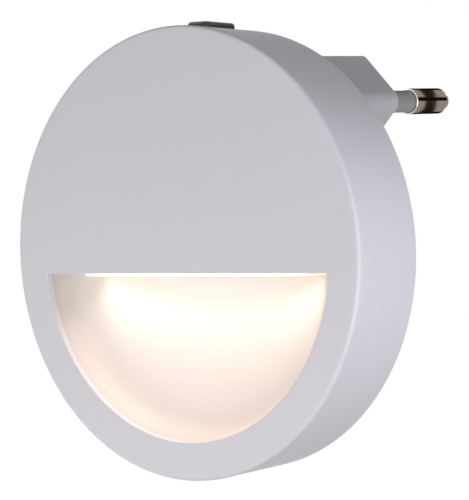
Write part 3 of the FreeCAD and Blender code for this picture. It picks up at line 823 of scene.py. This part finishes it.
@dataclass
class ScoopReflector:
    """The scooped bowl behind the opening, a wide dish whose rim turns forward in a tight round."""

    disc: Disc
    moon: HalfMoon
    step: float = 0.2 * MM
    rim_round: float = 5.0 * MM
    wall: float = 1.0 * MM
    lip: float = 1.0 * MM
    back: float = 10.6 * MM
    ceiling: float = 1.0 * MM
    flange_width: float = 1.3 * MM
    flange_thickness: float = 0.8 * MM
    slot_gap: float = 0.1 * MM
    diffuser_edge: float = 0.5 * MM
    mouth: float = 0.5 * MM
    post_length: float = 2.2 * MM
    post_width: float = 3.4 * MM
    post_sink: float = 0.3 * MM
    around: int = 145
    along: int = 46

    def turned(self, tree: ShapeTree, sizes: dict[str, Socket], grow: object, start: object) -> Socket:
        """Add the turned solid of the bowl, grown outwards by an amount.

        Args:
            tree: The tree to add it to.
            sizes: Sockets of the bowl's sizes.
            grow: How far it is grown.
            start: Depth at which its flat front lies.

        Returns:
            The closed solid.
        """
        grid = tree.add("GeometryNodeMeshGrid", {
            "Size X": 1.0, "Size Y": 1.0, "Vertices X": self.around, "Vertices Y": self.along})
        spot = tree.add("ShaderNodeSeparateXYZ", {"Vector": tree.add("GeometryNodeInputPosition").outputs[0]})
        turn = tree.math("MULTIPLY_ADD", spot.outputs["X"], 2 * math.pi, math.pi)
        row = tree.math("MULTIPLY_ADD", spot.outputs["Y"], self.along - 1, (self.along - 1) / 2)
        arc_row = tree.math("MAXIMUM", tree.math("SUBTRACT", row, 2.0), 0.0)
        share = tree.math("DIVIDE", arc_row, self.along - 3)
        doubled = tree.math("MULTIPLY", share, 2.0), tree.math("MULTIPLY_ADD", share, 2.0, -1.0)
        on_rim, on_floor = (tree.add("ShaderNodeClamp", {"Value": value}).outputs[0] for value in doubled)
        rim_turn = tree.math("SUBTRACT", math.pi / 2, sizes["Turn"])
        angle = tree.math("SUBTRACT", math.pi / 2, tree.math("MULTIPLY", rim_turn, on_rim))
        angle = tree.math("SUBTRACT", angle, tree.math("MULTIPLY", sizes["Turn"], on_floor))
        past_rim = tree.math("GREATER_THAN", share, 0.5)
        arc = []
        for operation, centres in (("SINE", (sizes["Round centre"], 0.0)),
                                   ("COSINE", (sizes["Lip"], sizes["Floor centre"]))):
            wave = tree.math(operation, angle)
            rim, floor = (tree.math("MULTIPLY_ADD", wave, tree.math("ADD", sizes[name], grow), centre)
                          for name, centre in zip(("Rim round", "Floor radius"), centres))
            arc.append(tree.add("ShaderNodeMix", {"Factor": past_rim, "A": rim, "B": floor}).outputs[0])
        radius = tree.math("MULTIPLY", arc[0], tree.math("GREATER_THAN", row, 0.5))
        front = tree.math("LESS_THAN", row, 1.5)
        depth = tree.add("ShaderNodeMix", {"Factor": front, "A": arc[1], "B": start}).outputs[0]
        place = tree.vector(
            tree.math("MULTIPLY", radius, tree.math("COSINE", turn)),
            tree.math("ADD", depth, sizes["Front"]),
            tree.math("MULTIPLY_ADD", radius, tree.math("SINE", turn), sizes["Axis"]))
        shaped = tree.add("GeometryNodeSetPosition", {"Geometry": grid.outputs["Mesh"], "Position": place})
        merged = tree.add("GeometryNodeMergeByDistance", {"Geometry": shaped.outputs[0], "Distance": 1e-6})
        return tree.add("GeometryNodeFlipFaces", {"Mesh": merged.outputs[0]}).outputs[0]

    def build(self) -> None:
        """Make the reflector and dress it."""
        disc, tree = self.disc, ShapeTree("scoop")
        bowl = self.moon.radius + self.step
        depth = self.back - self.lip
        centre = bowl - self.rim_round
        floor = (centre ** 2 + depth ** 2 - self.rim_round ** 2) / (2 * (depth - self.rim_round))
        level = disc.axis - self.moon.chord_drop
        sizes = {name: tree.size(name, value) for name, value in {
            "Front": disc.front, "Axis": disc.axis, "Lip": self.lip, "Rim round": self.rim_round,
            "Round centre": centre, "Floor radius": floor, "Floor centre": self.back - floor,
            "Turn": math.asin(centre / (floor - self.rim_round)), "Wall": self.wall, "Chord level": level,
            "Ceiling level": level + self.ceiling, "Flange top": level + self.flange_width + self.step,
            "Flange radius": bowl + self.flange_width, "Flange thickness": self.flange_thickness}.items()}
        roof, flange = sizes["Ceiling level"], sizes["Flange thickness"]
        outer = self.under(tree, self.turned(tree, sizes, sizes["Wall"], sizes["Lip"]), roof)
        rim = tree.add("GeometryNodeMeshCylinder", {
            "Vertices": self.around - 1, "Radius": sizes["Flange radius"], "Depth": flange}).outputs["Mesh"]
        middle = tree.math("MULTIPLY_ADD", flange, 0.5, tree.math("ADD", sizes["Front"], sizes["Lip"]))
        rim = tree.move(rim, tree.vector(0.0, middle, sizes["Axis"]), (math.pi / 2, 0, 0))
        rim = self.under(tree, rim, sizes["Flange top"])
        mouth = tree.math("SUBTRACT", sizes["Lip"], self.mouth)
        inner = self.under(tree, self.turned(tree, sizes, 0.0, mouth), sizes["Chord level"])
        slot = self.slot(tree, sizes["Chord level"], roof)
        shell = tree.combine("DIFFERENCE", tree.combine("UNION", outer, rim), inner, slot)
        shape = tree.combine("UNION", shell, *self.posts(tree, roof))
        plastic = SCOOP_PLASTIC.build()
        scoop = tree.grow("scoop_reflector", [(0, 0, 0)], shape, plastic)
        dress_new(scoop, 24, plastic, "reflector")

    def under(self, tree: ShapeTree, shape: Socket, level: Socket) -> Socket:
        """Keep the part of a shape that lies under a level."""
        half_space = tree.block((-BEYOND, -BEYOND, BELOW), (BEYOND, BEYOND, level))
        return tree.combine("INTERSECT", shape, half_space)

    def slot(self, tree: ShapeTree, chord: Socket, roof: Socket) -> Socket:
        """Add the block that cuts the diffuser's slot, a small gap wider than the diffuser all round.

        Args:
            tree: The tree to add it to.
            chord: Level of the ceiling's underside.
            roof: Level of its top.

        Returns:
            The block.
        """
        low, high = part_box("diffuser")
        over = self.diffuser_edge - self.slot_gap
        return tree.block((low.x + over, low.y + over, tree.math("SUBTRACT", chord, OVER)),
                          (high.x - over, high.y - over, tree.math("ADD", roof, OVER)))

    def posts(self, tree: ShapeTree, roof: Socket) -> list[Socket]:
        """Add the two posts on the ceiling that carry the narrow board.

        Args:
            tree: The tree to add them to.
            roof: Level of the ceiling's top.

        Returns:
            The posts, a little sunk into the ceiling.
        """
        low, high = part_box("led_board")
        half = self.post_width / 2
        middle, inner = (low.y + high.y) / 2, high.x - self.post_length
        sink = tree.math("SUBTRACT", roof, self.post_sink)
        return [tree.block((start, middle - half, sink), (end, middle + half, low.z))
                for start, end in ((-high.x, -inner), (inner, high.x))]


@dataclass
class ScrewSet:
    """Cross slot screws of one size that point the same way."""

    name: str
    node: str
    seats: Sequence[Sequence[float]]
    turn: float
    shank: float
    head: float
    head_height: float
    bite: float
    slot_width: float = 0.5 * MM
    slot_depth: float = 0.6 * MM
    crown: float = 0.72
    taper: tuple[float, float] = (0.96, 0.80)
    tip: float = 0.12
    arm: float = 0.6
    around: int = 48

    def build(self, material: Material) -> None:
        """Make the screws as one piece and dress them.

        Args:
            material: The screws' finish.
        """
        tree = ShapeTree(self.name)
        shank, head, tall, bite, width, slot = (tree.size(name, value) for name, value in (
            ("Shank radius", self.shank), ("Head radius", self.head), ("Head height", self.head_height),
            ("Bite", self.bite), ("Slot width", self.slot_width), ("Slot depth", self.slot_depth)))
        crown = tree.math("MULTIPLY", tall, self.crown)
        shoulder = tree.math("MULTIPLY", head, self.taper[0])
        point = tree.math("SUBTRACT", shank, bite)
        stack = []
        for low, high, low_radius, high_radius in (
                (0.0, crown, head, shoulder),
                (crown, tall, shoulder, tree.math("MULTIPLY", head, self.taper[1])),
                (point, 0.0, shank, shank),
                (tree.math("MULTIPLY", bite, -1.0), point, tree.math("MULTIPLY", shank, self.tip), shank)):
            cone = tree.add("GeometryNodeMeshCone", {
                "Vertices": self.around, "Radius Top": high_radius, "Radius Bottom": low_radius,
                "Depth": tree.math("SUBTRACT", high, low)})
            stack.append(tree.move(cone.outputs["Mesh"], tree.vector(0.0, 0.0, low)))
        arm, half = tree.math("MULTIPLY", head, self.arm), tree.math("MULTIPLY", width, 0.5)
        back_arm, back_half = (tree.math("MULTIPLY", part, -1.0) for part in (arm, half))
        floor, top = tree.math("SUBTRACT", tall, slot), tree.math("ADD", tall, OVER)
        body = tree.combine("DIFFERENCE", tree.combine("UNION", *stack),
                            tree.block((back_arm, back_half, floor), (arm, half, top)),
                            tree.block((back_half, back_arm, floor), (half, arm, top)))
        turned = tree.move(body, (0.0, 0.0, 0.0), (self.turn, 0, 0))
        placed = tree.add("GeometryNodeInstanceOnPoints", {"Points": tree.base, "Instance": turned})
        screws = tree.grow(self.name, self.seats, placed.outputs[0], material)
        dress_new(screws, 30, material, self.node)


@dataclass
class LightRow:
    """Row of small light sources under the narrow board, each a white frame round a phosphor pad."""

    count: int = 5
    length: float = 3.5 * MM
    width: float = 2.8 * MM
    rim: float = 0.35 * MM
    sink: float = 0.12 * MM

    def build(self) -> None:
        """Make the row as one piece and dress it."""
        low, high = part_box("led_chips")
        middle = (low + high) / 2
        tree = ShapeTree("light_row")
        pitch = tree.size("Pitch", (high.x - low.x - self.length) / (self.count - 1))
        half = [tree.math("MULTIPLY", tree.size(name, value), 0.5) for name, value in (
            ("Length", self.length), ("Width", self.width), ("Height", high.z - low.z))]
        rim, sink = tree.size("Rim", self.rim), tree.size("Pad sink", self.sink)
        back = [tree.math("MULTIPLY", part, -1.0) for part in half]
        pad_low = [tree.math("ADD", part, rim) for part in back[:2]]
        pad_high = [tree.math("SUBTRACT", part, rim) for part in half[:2]]
        pocket = tree.block((*pad_low, tree.math("SUBTRACT", back[2], OVER)),
                            (*pad_high, tree.math("ADD", back[2], sink)))
        body = tree.combine("DIFFERENCE", tree.block(back, half), pocket)
        first = tree.math("MULTIPLY", pitch, -(self.count - 1) / 2)
        line = tree.add("GeometryNodeMeshLine", {
            "Count": self.count, "Offset": tree.vector(pitch, 0.0, 0.0),
            "Start Location": tree.vector(first, middle.y, middle.z)})
        row = tree.add("GeometryNodeInstanceOnPoints", {"Points": line.outputs[0], "Instance": body})
        material = LIGHT_CHIP.build()
        piece = tree.grow("light_row", [(0, 0, 0)], row.outputs[0], material)
        dress_new(piece, 30, material, "led_chips")


@dataclass
class ContactPin:
    """One contact pin and the sleeve round its root."""

    side: int
    node: str
    half_spacing: float = 9.3 * MM
    lean: float = math.atan2(18.6 - 17.5, 2 * 19.0)
    radius: float = 2.0 * MM
    length: float = 18.999 * MM
    core: float = 1.25 * MM
    collar: float = 2.1 * MM
    collar_front: float = -3.1 * MM
    collar_back: float = -4.8 * MM
    tail: float = 0.8 * MM
    tail_end: float = -8.0 * MM
    shoulder: float = 0.25 * MM
    sleeve: float = 1.7 * MM
    sleeve_end: float = 9.4 * MM
    sleeve_root: float = -1.5 * MM
    fit: float = 0.05 * MM
    ease: float = 0.15 * MM
    groove: float = 1.0 * MM
    groove_depth: float = 0.07 * MM
    groove_half: float = 0.1 * MM
    bead: float = 0.2 * MM
    steps: int = 96

    @property
    def place(self) -> Matrix:
        """Where the pin's axis goes, leaning towards the other pin."""
        lean = Matrix.Rotation(self.side * self.lean, 4, "Z")
        return Matrix.Translation((self.side * self.half_spacing, 0, 0)) @ lean

    def pin_profile(self) -> list[Point]:
        """Half outline of the pin from its tail to its tip.

        Returns:
            Points (radius, y).
        """
        end, radius, ease = self.sleeve_end, self.radius, self.ease
        profile = [(AXIS_GAP, self.tail_end), (self.tail - ease, self.tail_end),
                   (self.tail, self.tail_end + ease), (self.tail, self.collar_back),
                   (self.collar - ease, self.collar_back), (self.collar, self.collar_back + ease),
                   (self.collar, self.collar_front - ease), (self.collar - ease, self.collar_front),
                   (self.core, self.collar_front), (self.core, end)]
        profile += arc_points((radius - self.shoulder, end + self.shoulder), self.shoulder, -90, 0, 4)
        return profile + arc_points((0, self.length - radius), radius, 0, 89, 20)

    def sleeve_profile(self) -> list[Point]:
        """Closed half section of the sleeve, with a fine groove behind its end bead.

        Returns:
            Points (radius, y).
        """
        bore, outer, end = self.core + self.fit, self.sleeve, self.sleeve_end - self.fit
        groove, half, inner = end - self.groove, self.groove_half, outer - self.groove_depth
        section = [(bore, self.sleeve_root), (outer, self.sleeve_root), (outer, groove - half),
                   (inner, groove - half / 2), (inner, groove + half / 2), (outer, groove + half)]
        section += arc_points((outer - self.bead, end - self.bead), self.bead, 0, 90, 4)
        return section + [(bore, end)]

    def build(self) -> None:
        """Make the pin and its sleeve and dress them."""
        pin = lathe(self.node + "_metal", self.pin_profile(), self.steps, self.place)
        dress_new(pin, 40, PIN_METAL.build(), self.node)
        section = self.sleeve_profile()
        rings = [[self.place @ Vector((radius * x, height, radius * z)) for radius, height in section]
                 for x, z in unit_circle(self.steps)]
        sleeve = loft(self.node + "_collar_sleeve", rings, closed=True)
        dress_new(sleeve, 40, SLEEVE_PLASTIC.build(), self.node + "_sleeve")


@dataclass
class PhotoCamera:
    """The camera that took the photograph, fitted to the shell's outline."""

    disc: Disc
    azimuth: float = 41.96403
    elevation: float = 1.83674
    distance_radii: float = 14.01235
    yaw: float = 0.95933
    pitch: float = -0.03329
    roll: float = 2.04023
    focal_pixels: float = 3196.32
    frame_pixels: float = 500.0
    sensor: float = 36.0
    clip: tuple[float, float] = (0.01, 50.0)

    def build(self) -> None:
        """Make the camera and set it as the scene's own."""
        around, up = math.radians(self.azimuth), math.radians(self.elevation)
        back = Vector((math.sin(around) * math.cos(up), -math.cos(around) * math.cos(up), math.sin(up)))
        right = Vector((0, 0, 1)).cross(back).normalized()
        view = Matrix((right, back.cross(right), back))
        for angle, axis in ((self.yaw, "Y"), (self.pitch, "X"), (self.roll, "Z")):
            view = Matrix.Rotation(math.radians(angle), 3, axis) @ view
        data = bpy.data.cameras.new("photo_camera")
        data.sensor_width = self.sensor
        data.lens = self.focal_pixels * self.sensor / self.frame_pixels
        data.clip_start, data.clip_end = self.clip
        camera = bpy.data.objects.new("photo_camera", data)
        spot = self.disc.at(0, 0, 0) + back * self.distance_radii * self.disc.radius
        camera.matrix_world = Matrix.Translation(spot) @ view.transposed().to_4x4()
        bpy.context.scene.collection.objects.link(camera)
        bpy.context.scene.camera = camera


def area_light(name: str, shape: str, sizes: Sequence[float], power: float, colour: Colour,
               place: Vector) -> Piece:
    """Make a soft light that faces down and that the camera doesn't see.

    Args:
        name: Its name.
        shape: DISK or RECTANGLE.
        sizes: Its width, and its length where it is a rectangle.
        power: Its power in watts.
        colour: Its colour.
        place: Where it hangs.

    Returns:
        The light object.
    """
    data = bpy.data.lights.new(name, "AREA")
    data.shape = shape
    for side, size in zip(("size", "size_y"), sizes):
        setattr(data, side, size)
    data.energy, data.color = power, colour
    lamp = bpy.data.objects.new(name, data)
    lamp.location = place
    lamp.visible_camera = False
    bpy.context.scene.collection.objects.link(lamp)
    return lamp


@dataclass(frozen=True)
class Lamp:
    """One round soft light, aimed at the shell's middle; lengths in millimetres from there."""

    name: str
    place: tuple[float, float, float]
    size: float
    power: float
    colour: Colour
    aim_depth: float = 7.0

    def build(self, disc: Disc) -> None:
        """Make the light.

        Args:
            disc: The round shell that it lights.
        """
        x, depth, level = (value * MM for value in self.place)
        place = disc.at(x, depth, level)
        lamp = area_light(self.name, "DISK", [self.size * MM], self.power, self.colour, place)
        lamp.rotation_mode = "QUATERNION"
        lamp.rotation_quaternion = (place - disc.at(0, self.aim_depth * MM, 0)).to_track_quat("Z", "Y")


LAMPS = (
    Lamp("front_right", (401.5, -1116.6, 0), 450, 2.86, (0.90, 0.93, 1.00)),
    Lamp("right_low", (733.6, -867.3, -370.8), 450, 4.04, (1.00, 0.974, 0.938)),
    Lamp("left_high", (-734.8, -417.3, 848.5), 450, 1.70, (0.94, 0.92, 1.00)),
    Lamp("behind", (0, 1188.8, 208.4), 450, 2.71, (1.00, 0.95, 0.99)),
    Lamp("side_card", (110, 15, -20), 80, 0.01765, (0.98, 1.00, 0.95)),
    Lamp("side_front_card", (110, -15, 0), 80, 0.03255, (0.88, 0.90, 1.00)),
    Lamp("low_front_card", (-40, -120, -60), 100, 0.071, (1.00, 0.92, 0.86)),
)


@dataclass
class GlowStrip:
    """The light that leaves the diffuser downwards into the scoop."""

    length: float = 42.0 * MM
    width: float = 4.0 * MM
    power: float = 0.0029
    spread: float = 110.0
    colour: Colour = (1.0, 0.80, 0.72)
    drop: float = 0.2 * MM

    def build(self) -> None:
        """Make the light just under the diffuser."""
        low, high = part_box("diffuser")
        place = Vector(((low.x + high.x) / 2, (low.y + high.y) / 2, low.z - self.drop))
        sizes = (self.length, self.width)
        lamp = area_light("glow_strip", "RECTANGLE", sizes, self.power, self.colour, place)
        lamp.data.spread = math.radians(self.spread)


@dataclass
class PinCards:
    """Rings of card round the pin, seen only in gloss, that give the plated metal its bands.

    Ends are in millimetres along the pin, and angles in degrees from the side away from the other pin.
    """

    centre_x: float = 9.3 * MM
    radius: float = 30.0 * MM
    steps: int = 120
    light: Colour = (0.37, 0.345, 0.30)
    dark: Colour = (0.015, 0.006, 0.004)
    black: Colour = (0.008, 0.008, 0.008)
    ends: tuple[float, ...] = (12.0, 36.0, 42.8, 52.6, 64.0, 120.0)
    dark_band: int = 2
    open_bands: tuple[int, ...] = (0, 4)
    open_edge: float = 85.0
    streak: float = 34.0
    edge: float = 115.0

    def build(self) -> None:
        """Make the cards as one staged object."""
        points = [(self.centre_x + self.radius * x, level * MM, self.radius * z)
                  for level in self.ends for x, z in unit_circle(self.steps)]
        light, dark, black = range(3)
        faces, kinds = [], []
        for band in range(len(self.ends) - 1):
            for step in range(self.steps):
                turn = (step + 0.5) * 360 / self.steps
                side = min(turn, 360 - turn)
                if band in self.open_bands and side > self.open_edge:
                    continue
                here, after = (band * self.steps + index % self.steps for index in (step, step + 1))
                faces.append((here, after, after + self.steps, here + self.steps))
                shaded = dark if band == self.dark_band or turn < self.streak else light
                kinds.append(black if side > self.edge else shaded)
        faces.append(tuple(range(len(points) - self.steps, len(points))))
        kinds.append(light)
        cards = mesh_object("pin_cards", points, faces)
        for name, colour in (("light", self.light), ("dark", self.dark), ("black", self.black)):
            surface = Surface("card_" + name)
            surface.feed(surface.shader, {"Base Color": (0, 0, 0, 1), "Specular IOR Level": 0.0,
                                          "Emission Color": (*colour, 1.0), "Emission Strength": 1.0})
            cards.data.materials.append(surface.material)
        for face, kind in zip(cards.data.polygons, kinds):
            face.material_index = kind
        for ray in ("camera", "diffuse", "transmission", "shadow", "volume_scatter"):
            setattr(cards, f"visible_{ray}", False)


@dataclass
class Studio:
    """Floor, backdrop light and lamps round the object."""

    disc: Disc
    ambient: float = 0.05
    floor_drop: float = 0.40
    floor_size: float = 8.0
    floor_colour: Colour = (0.9, 0.9, 0.9)
    floor_roughness: float = 0.9
    floor_glow: float = 0.93
    white: float = 1.0

    def world(self) -> None:
        """Make the surroundings: white where they are seen, dim where they light the object."""
        world = bpy.data.worlds.new("studio_white")
        world.use_nodes = True
        sketch = NodeSketch(world.node_tree)
        sketch.tree.nodes.clear()
        strength = sketch.math("MULTIPLY_ADD", sketch.seen(), self.white - self.ambient, self.ambient)
        back = sketch.add("ShaderNodeBackground", {"Color": (1, 1, 1, 1), "Strength": strength})
        sketch.add("ShaderNodeOutputWorld", {"Surface": back.outputs[0]})
        bpy.context.scene.world = world

    def floor(self) -> None:
        """Make the pale floor under the object, which keeps its shadow."""
        low = self.disc.axis - self.disc.radius - self.floor_drop
        half = self.floor_size / 2
        spots = [(-half, -half, low), (half, -half, low), (half, half, low), (-half, half, low)]
        floor = mesh_object("floor", spots, [(0, 1, 2, 3)])
        surface = Surface("floor_white")
        surface.feed(surface.shader, {
            "Base Color": (*self.floor_colour, 1.0), "Roughness": self.floor_roughness})
        strength = surface.math("MULTIPLY", surface.seen(), self.floor_glow)
        glow = surface.add("ShaderNodeEmission", {"Strength": strength})
        both = surface.add("ShaderNodeAddShader", {0: surface.shader.outputs[0], 1: glow.outputs[0]})
        surface.feed(surface.tree.nodes["Material Output"], {"Surface": both.outputs[0]})
        floor.data.materials.append(surface.material)

    def build(self) -> None:
        """Make the whole studio."""
        self.world()
        self.floor()
        for lamp in LAMPS:
            lamp.build(self.disc)
        GlowStrip().build()
        PinCards().build()
        bpy.context.scene.view_settings.view_transform = "Standard"


def dress_carried(nodes: dict[str, Piece], name: str, material: Material) -> None:
    """Give a node that stays as it is a new material.

    Args:
        nodes: The frame's nodes.
        name: The node's name.
        material: Its material.
    """
    slots = nodes[name].data.materials
    slots.clear()
    slots.append(material)
    LOG.info("%s: dressed", name)


def screw_sets(shell: FrontShell) -> list[ScrewSet]:
    """The screws of the part, with seats read from the frame.

    Args:
        shell: The front shell, with the bosses that the cover's screws go into.

    Returns:
        One set for each size and direction.
    """
    disc, reach = shell.disc, shell.boss_circle
    big_tall, small_head, small_tall = 1.1 * MM, 1.1 * MM, 0.7 * MM
    turns = [math.radians(angle) for angle in shell.boss_angles]
    seat = disc.depth - big_tall
    bosses = [disc.at(reach * math.cos(turn), seat, reach * math.sin(turn)) for turn in turns]
    low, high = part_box("board_screws")
    board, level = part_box("driver_board")[1].y, (low.z + high.z) / 2
    board_seats = [Vector((side * (high.x - small_head), board, level)) for side in (-1, 1)]
    low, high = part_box("led_board_screws")
    strip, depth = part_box("led_board")[1].z, (low.y + high.y) / 2
    strip_seats = [Vector((side * (high.x - small_head), depth, strip)) for side in (-1, 1)]
    retainer_seat = [Vector((0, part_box("retainer_screw")[0].y + small_tall, 0))]
    small = {"shank": 0.6 * MM, "head": small_head, "head_height": small_tall, "slot_depth": 0.42 * MM}
    ahead, up, back = -math.pi / 2, 0.0, math.pi / 2
    return [
        ScrewSet("cover_screw_set", "cover_screws", bosses, ahead, 1.0 * MM, 1.9 * MM, big_tall, 5.0 * MM),
        ScrewSet("board_screw_set", "board_screws", board_seats, ahead, bite=3.1 * MM, **small),
        ScrewSet("strip_screw_set", "led_board_screws", strip_seats, up, bite=2.9 * MM, **small),
        ScrewSet("retainer_screw_set", "retainer_screw", retainer_seat, back, bite=3.5 * MM, **small),
    ]


def main() -> None:
    """Build the dressed night light and its studio."""
    logging.basicConfig(level=logging.INFO, format="%(name)s %(message)s")
    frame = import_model()
    nodes = frame["nodes"]
    disc = Disc.from_frame()
    moon = HalfMoon()
    PhotoCamera(disc).build()
    Studio(disc).build()
    shell = FrontShell(disc, moon)
    shell.build()
    ScoopReflector(disc, moon).build()
    for side, name in ((1, "live_pin"), (-1, "neutral_pin")):
        ContactPin(side, name).build()
    screw_metal = SCREW_METAL.build()
    for screws in screw_sets(shell):
        screws.build(screw_metal)
    LightRow().build()
    dress_carried(nodes, "rear_housing", SHELL_PLASTIC.build())
    dress_carried(nodes, "sensor_window", WINDOW_SMOKED.build())
    dress_carried(nodes, "diffuser", DIFFUSER_GLOW.build())
    for name, finish in INNER_FINISHES.items():
        dress_carried(nodes, name, finish.build())


if __name__ == "__main__":
    main()
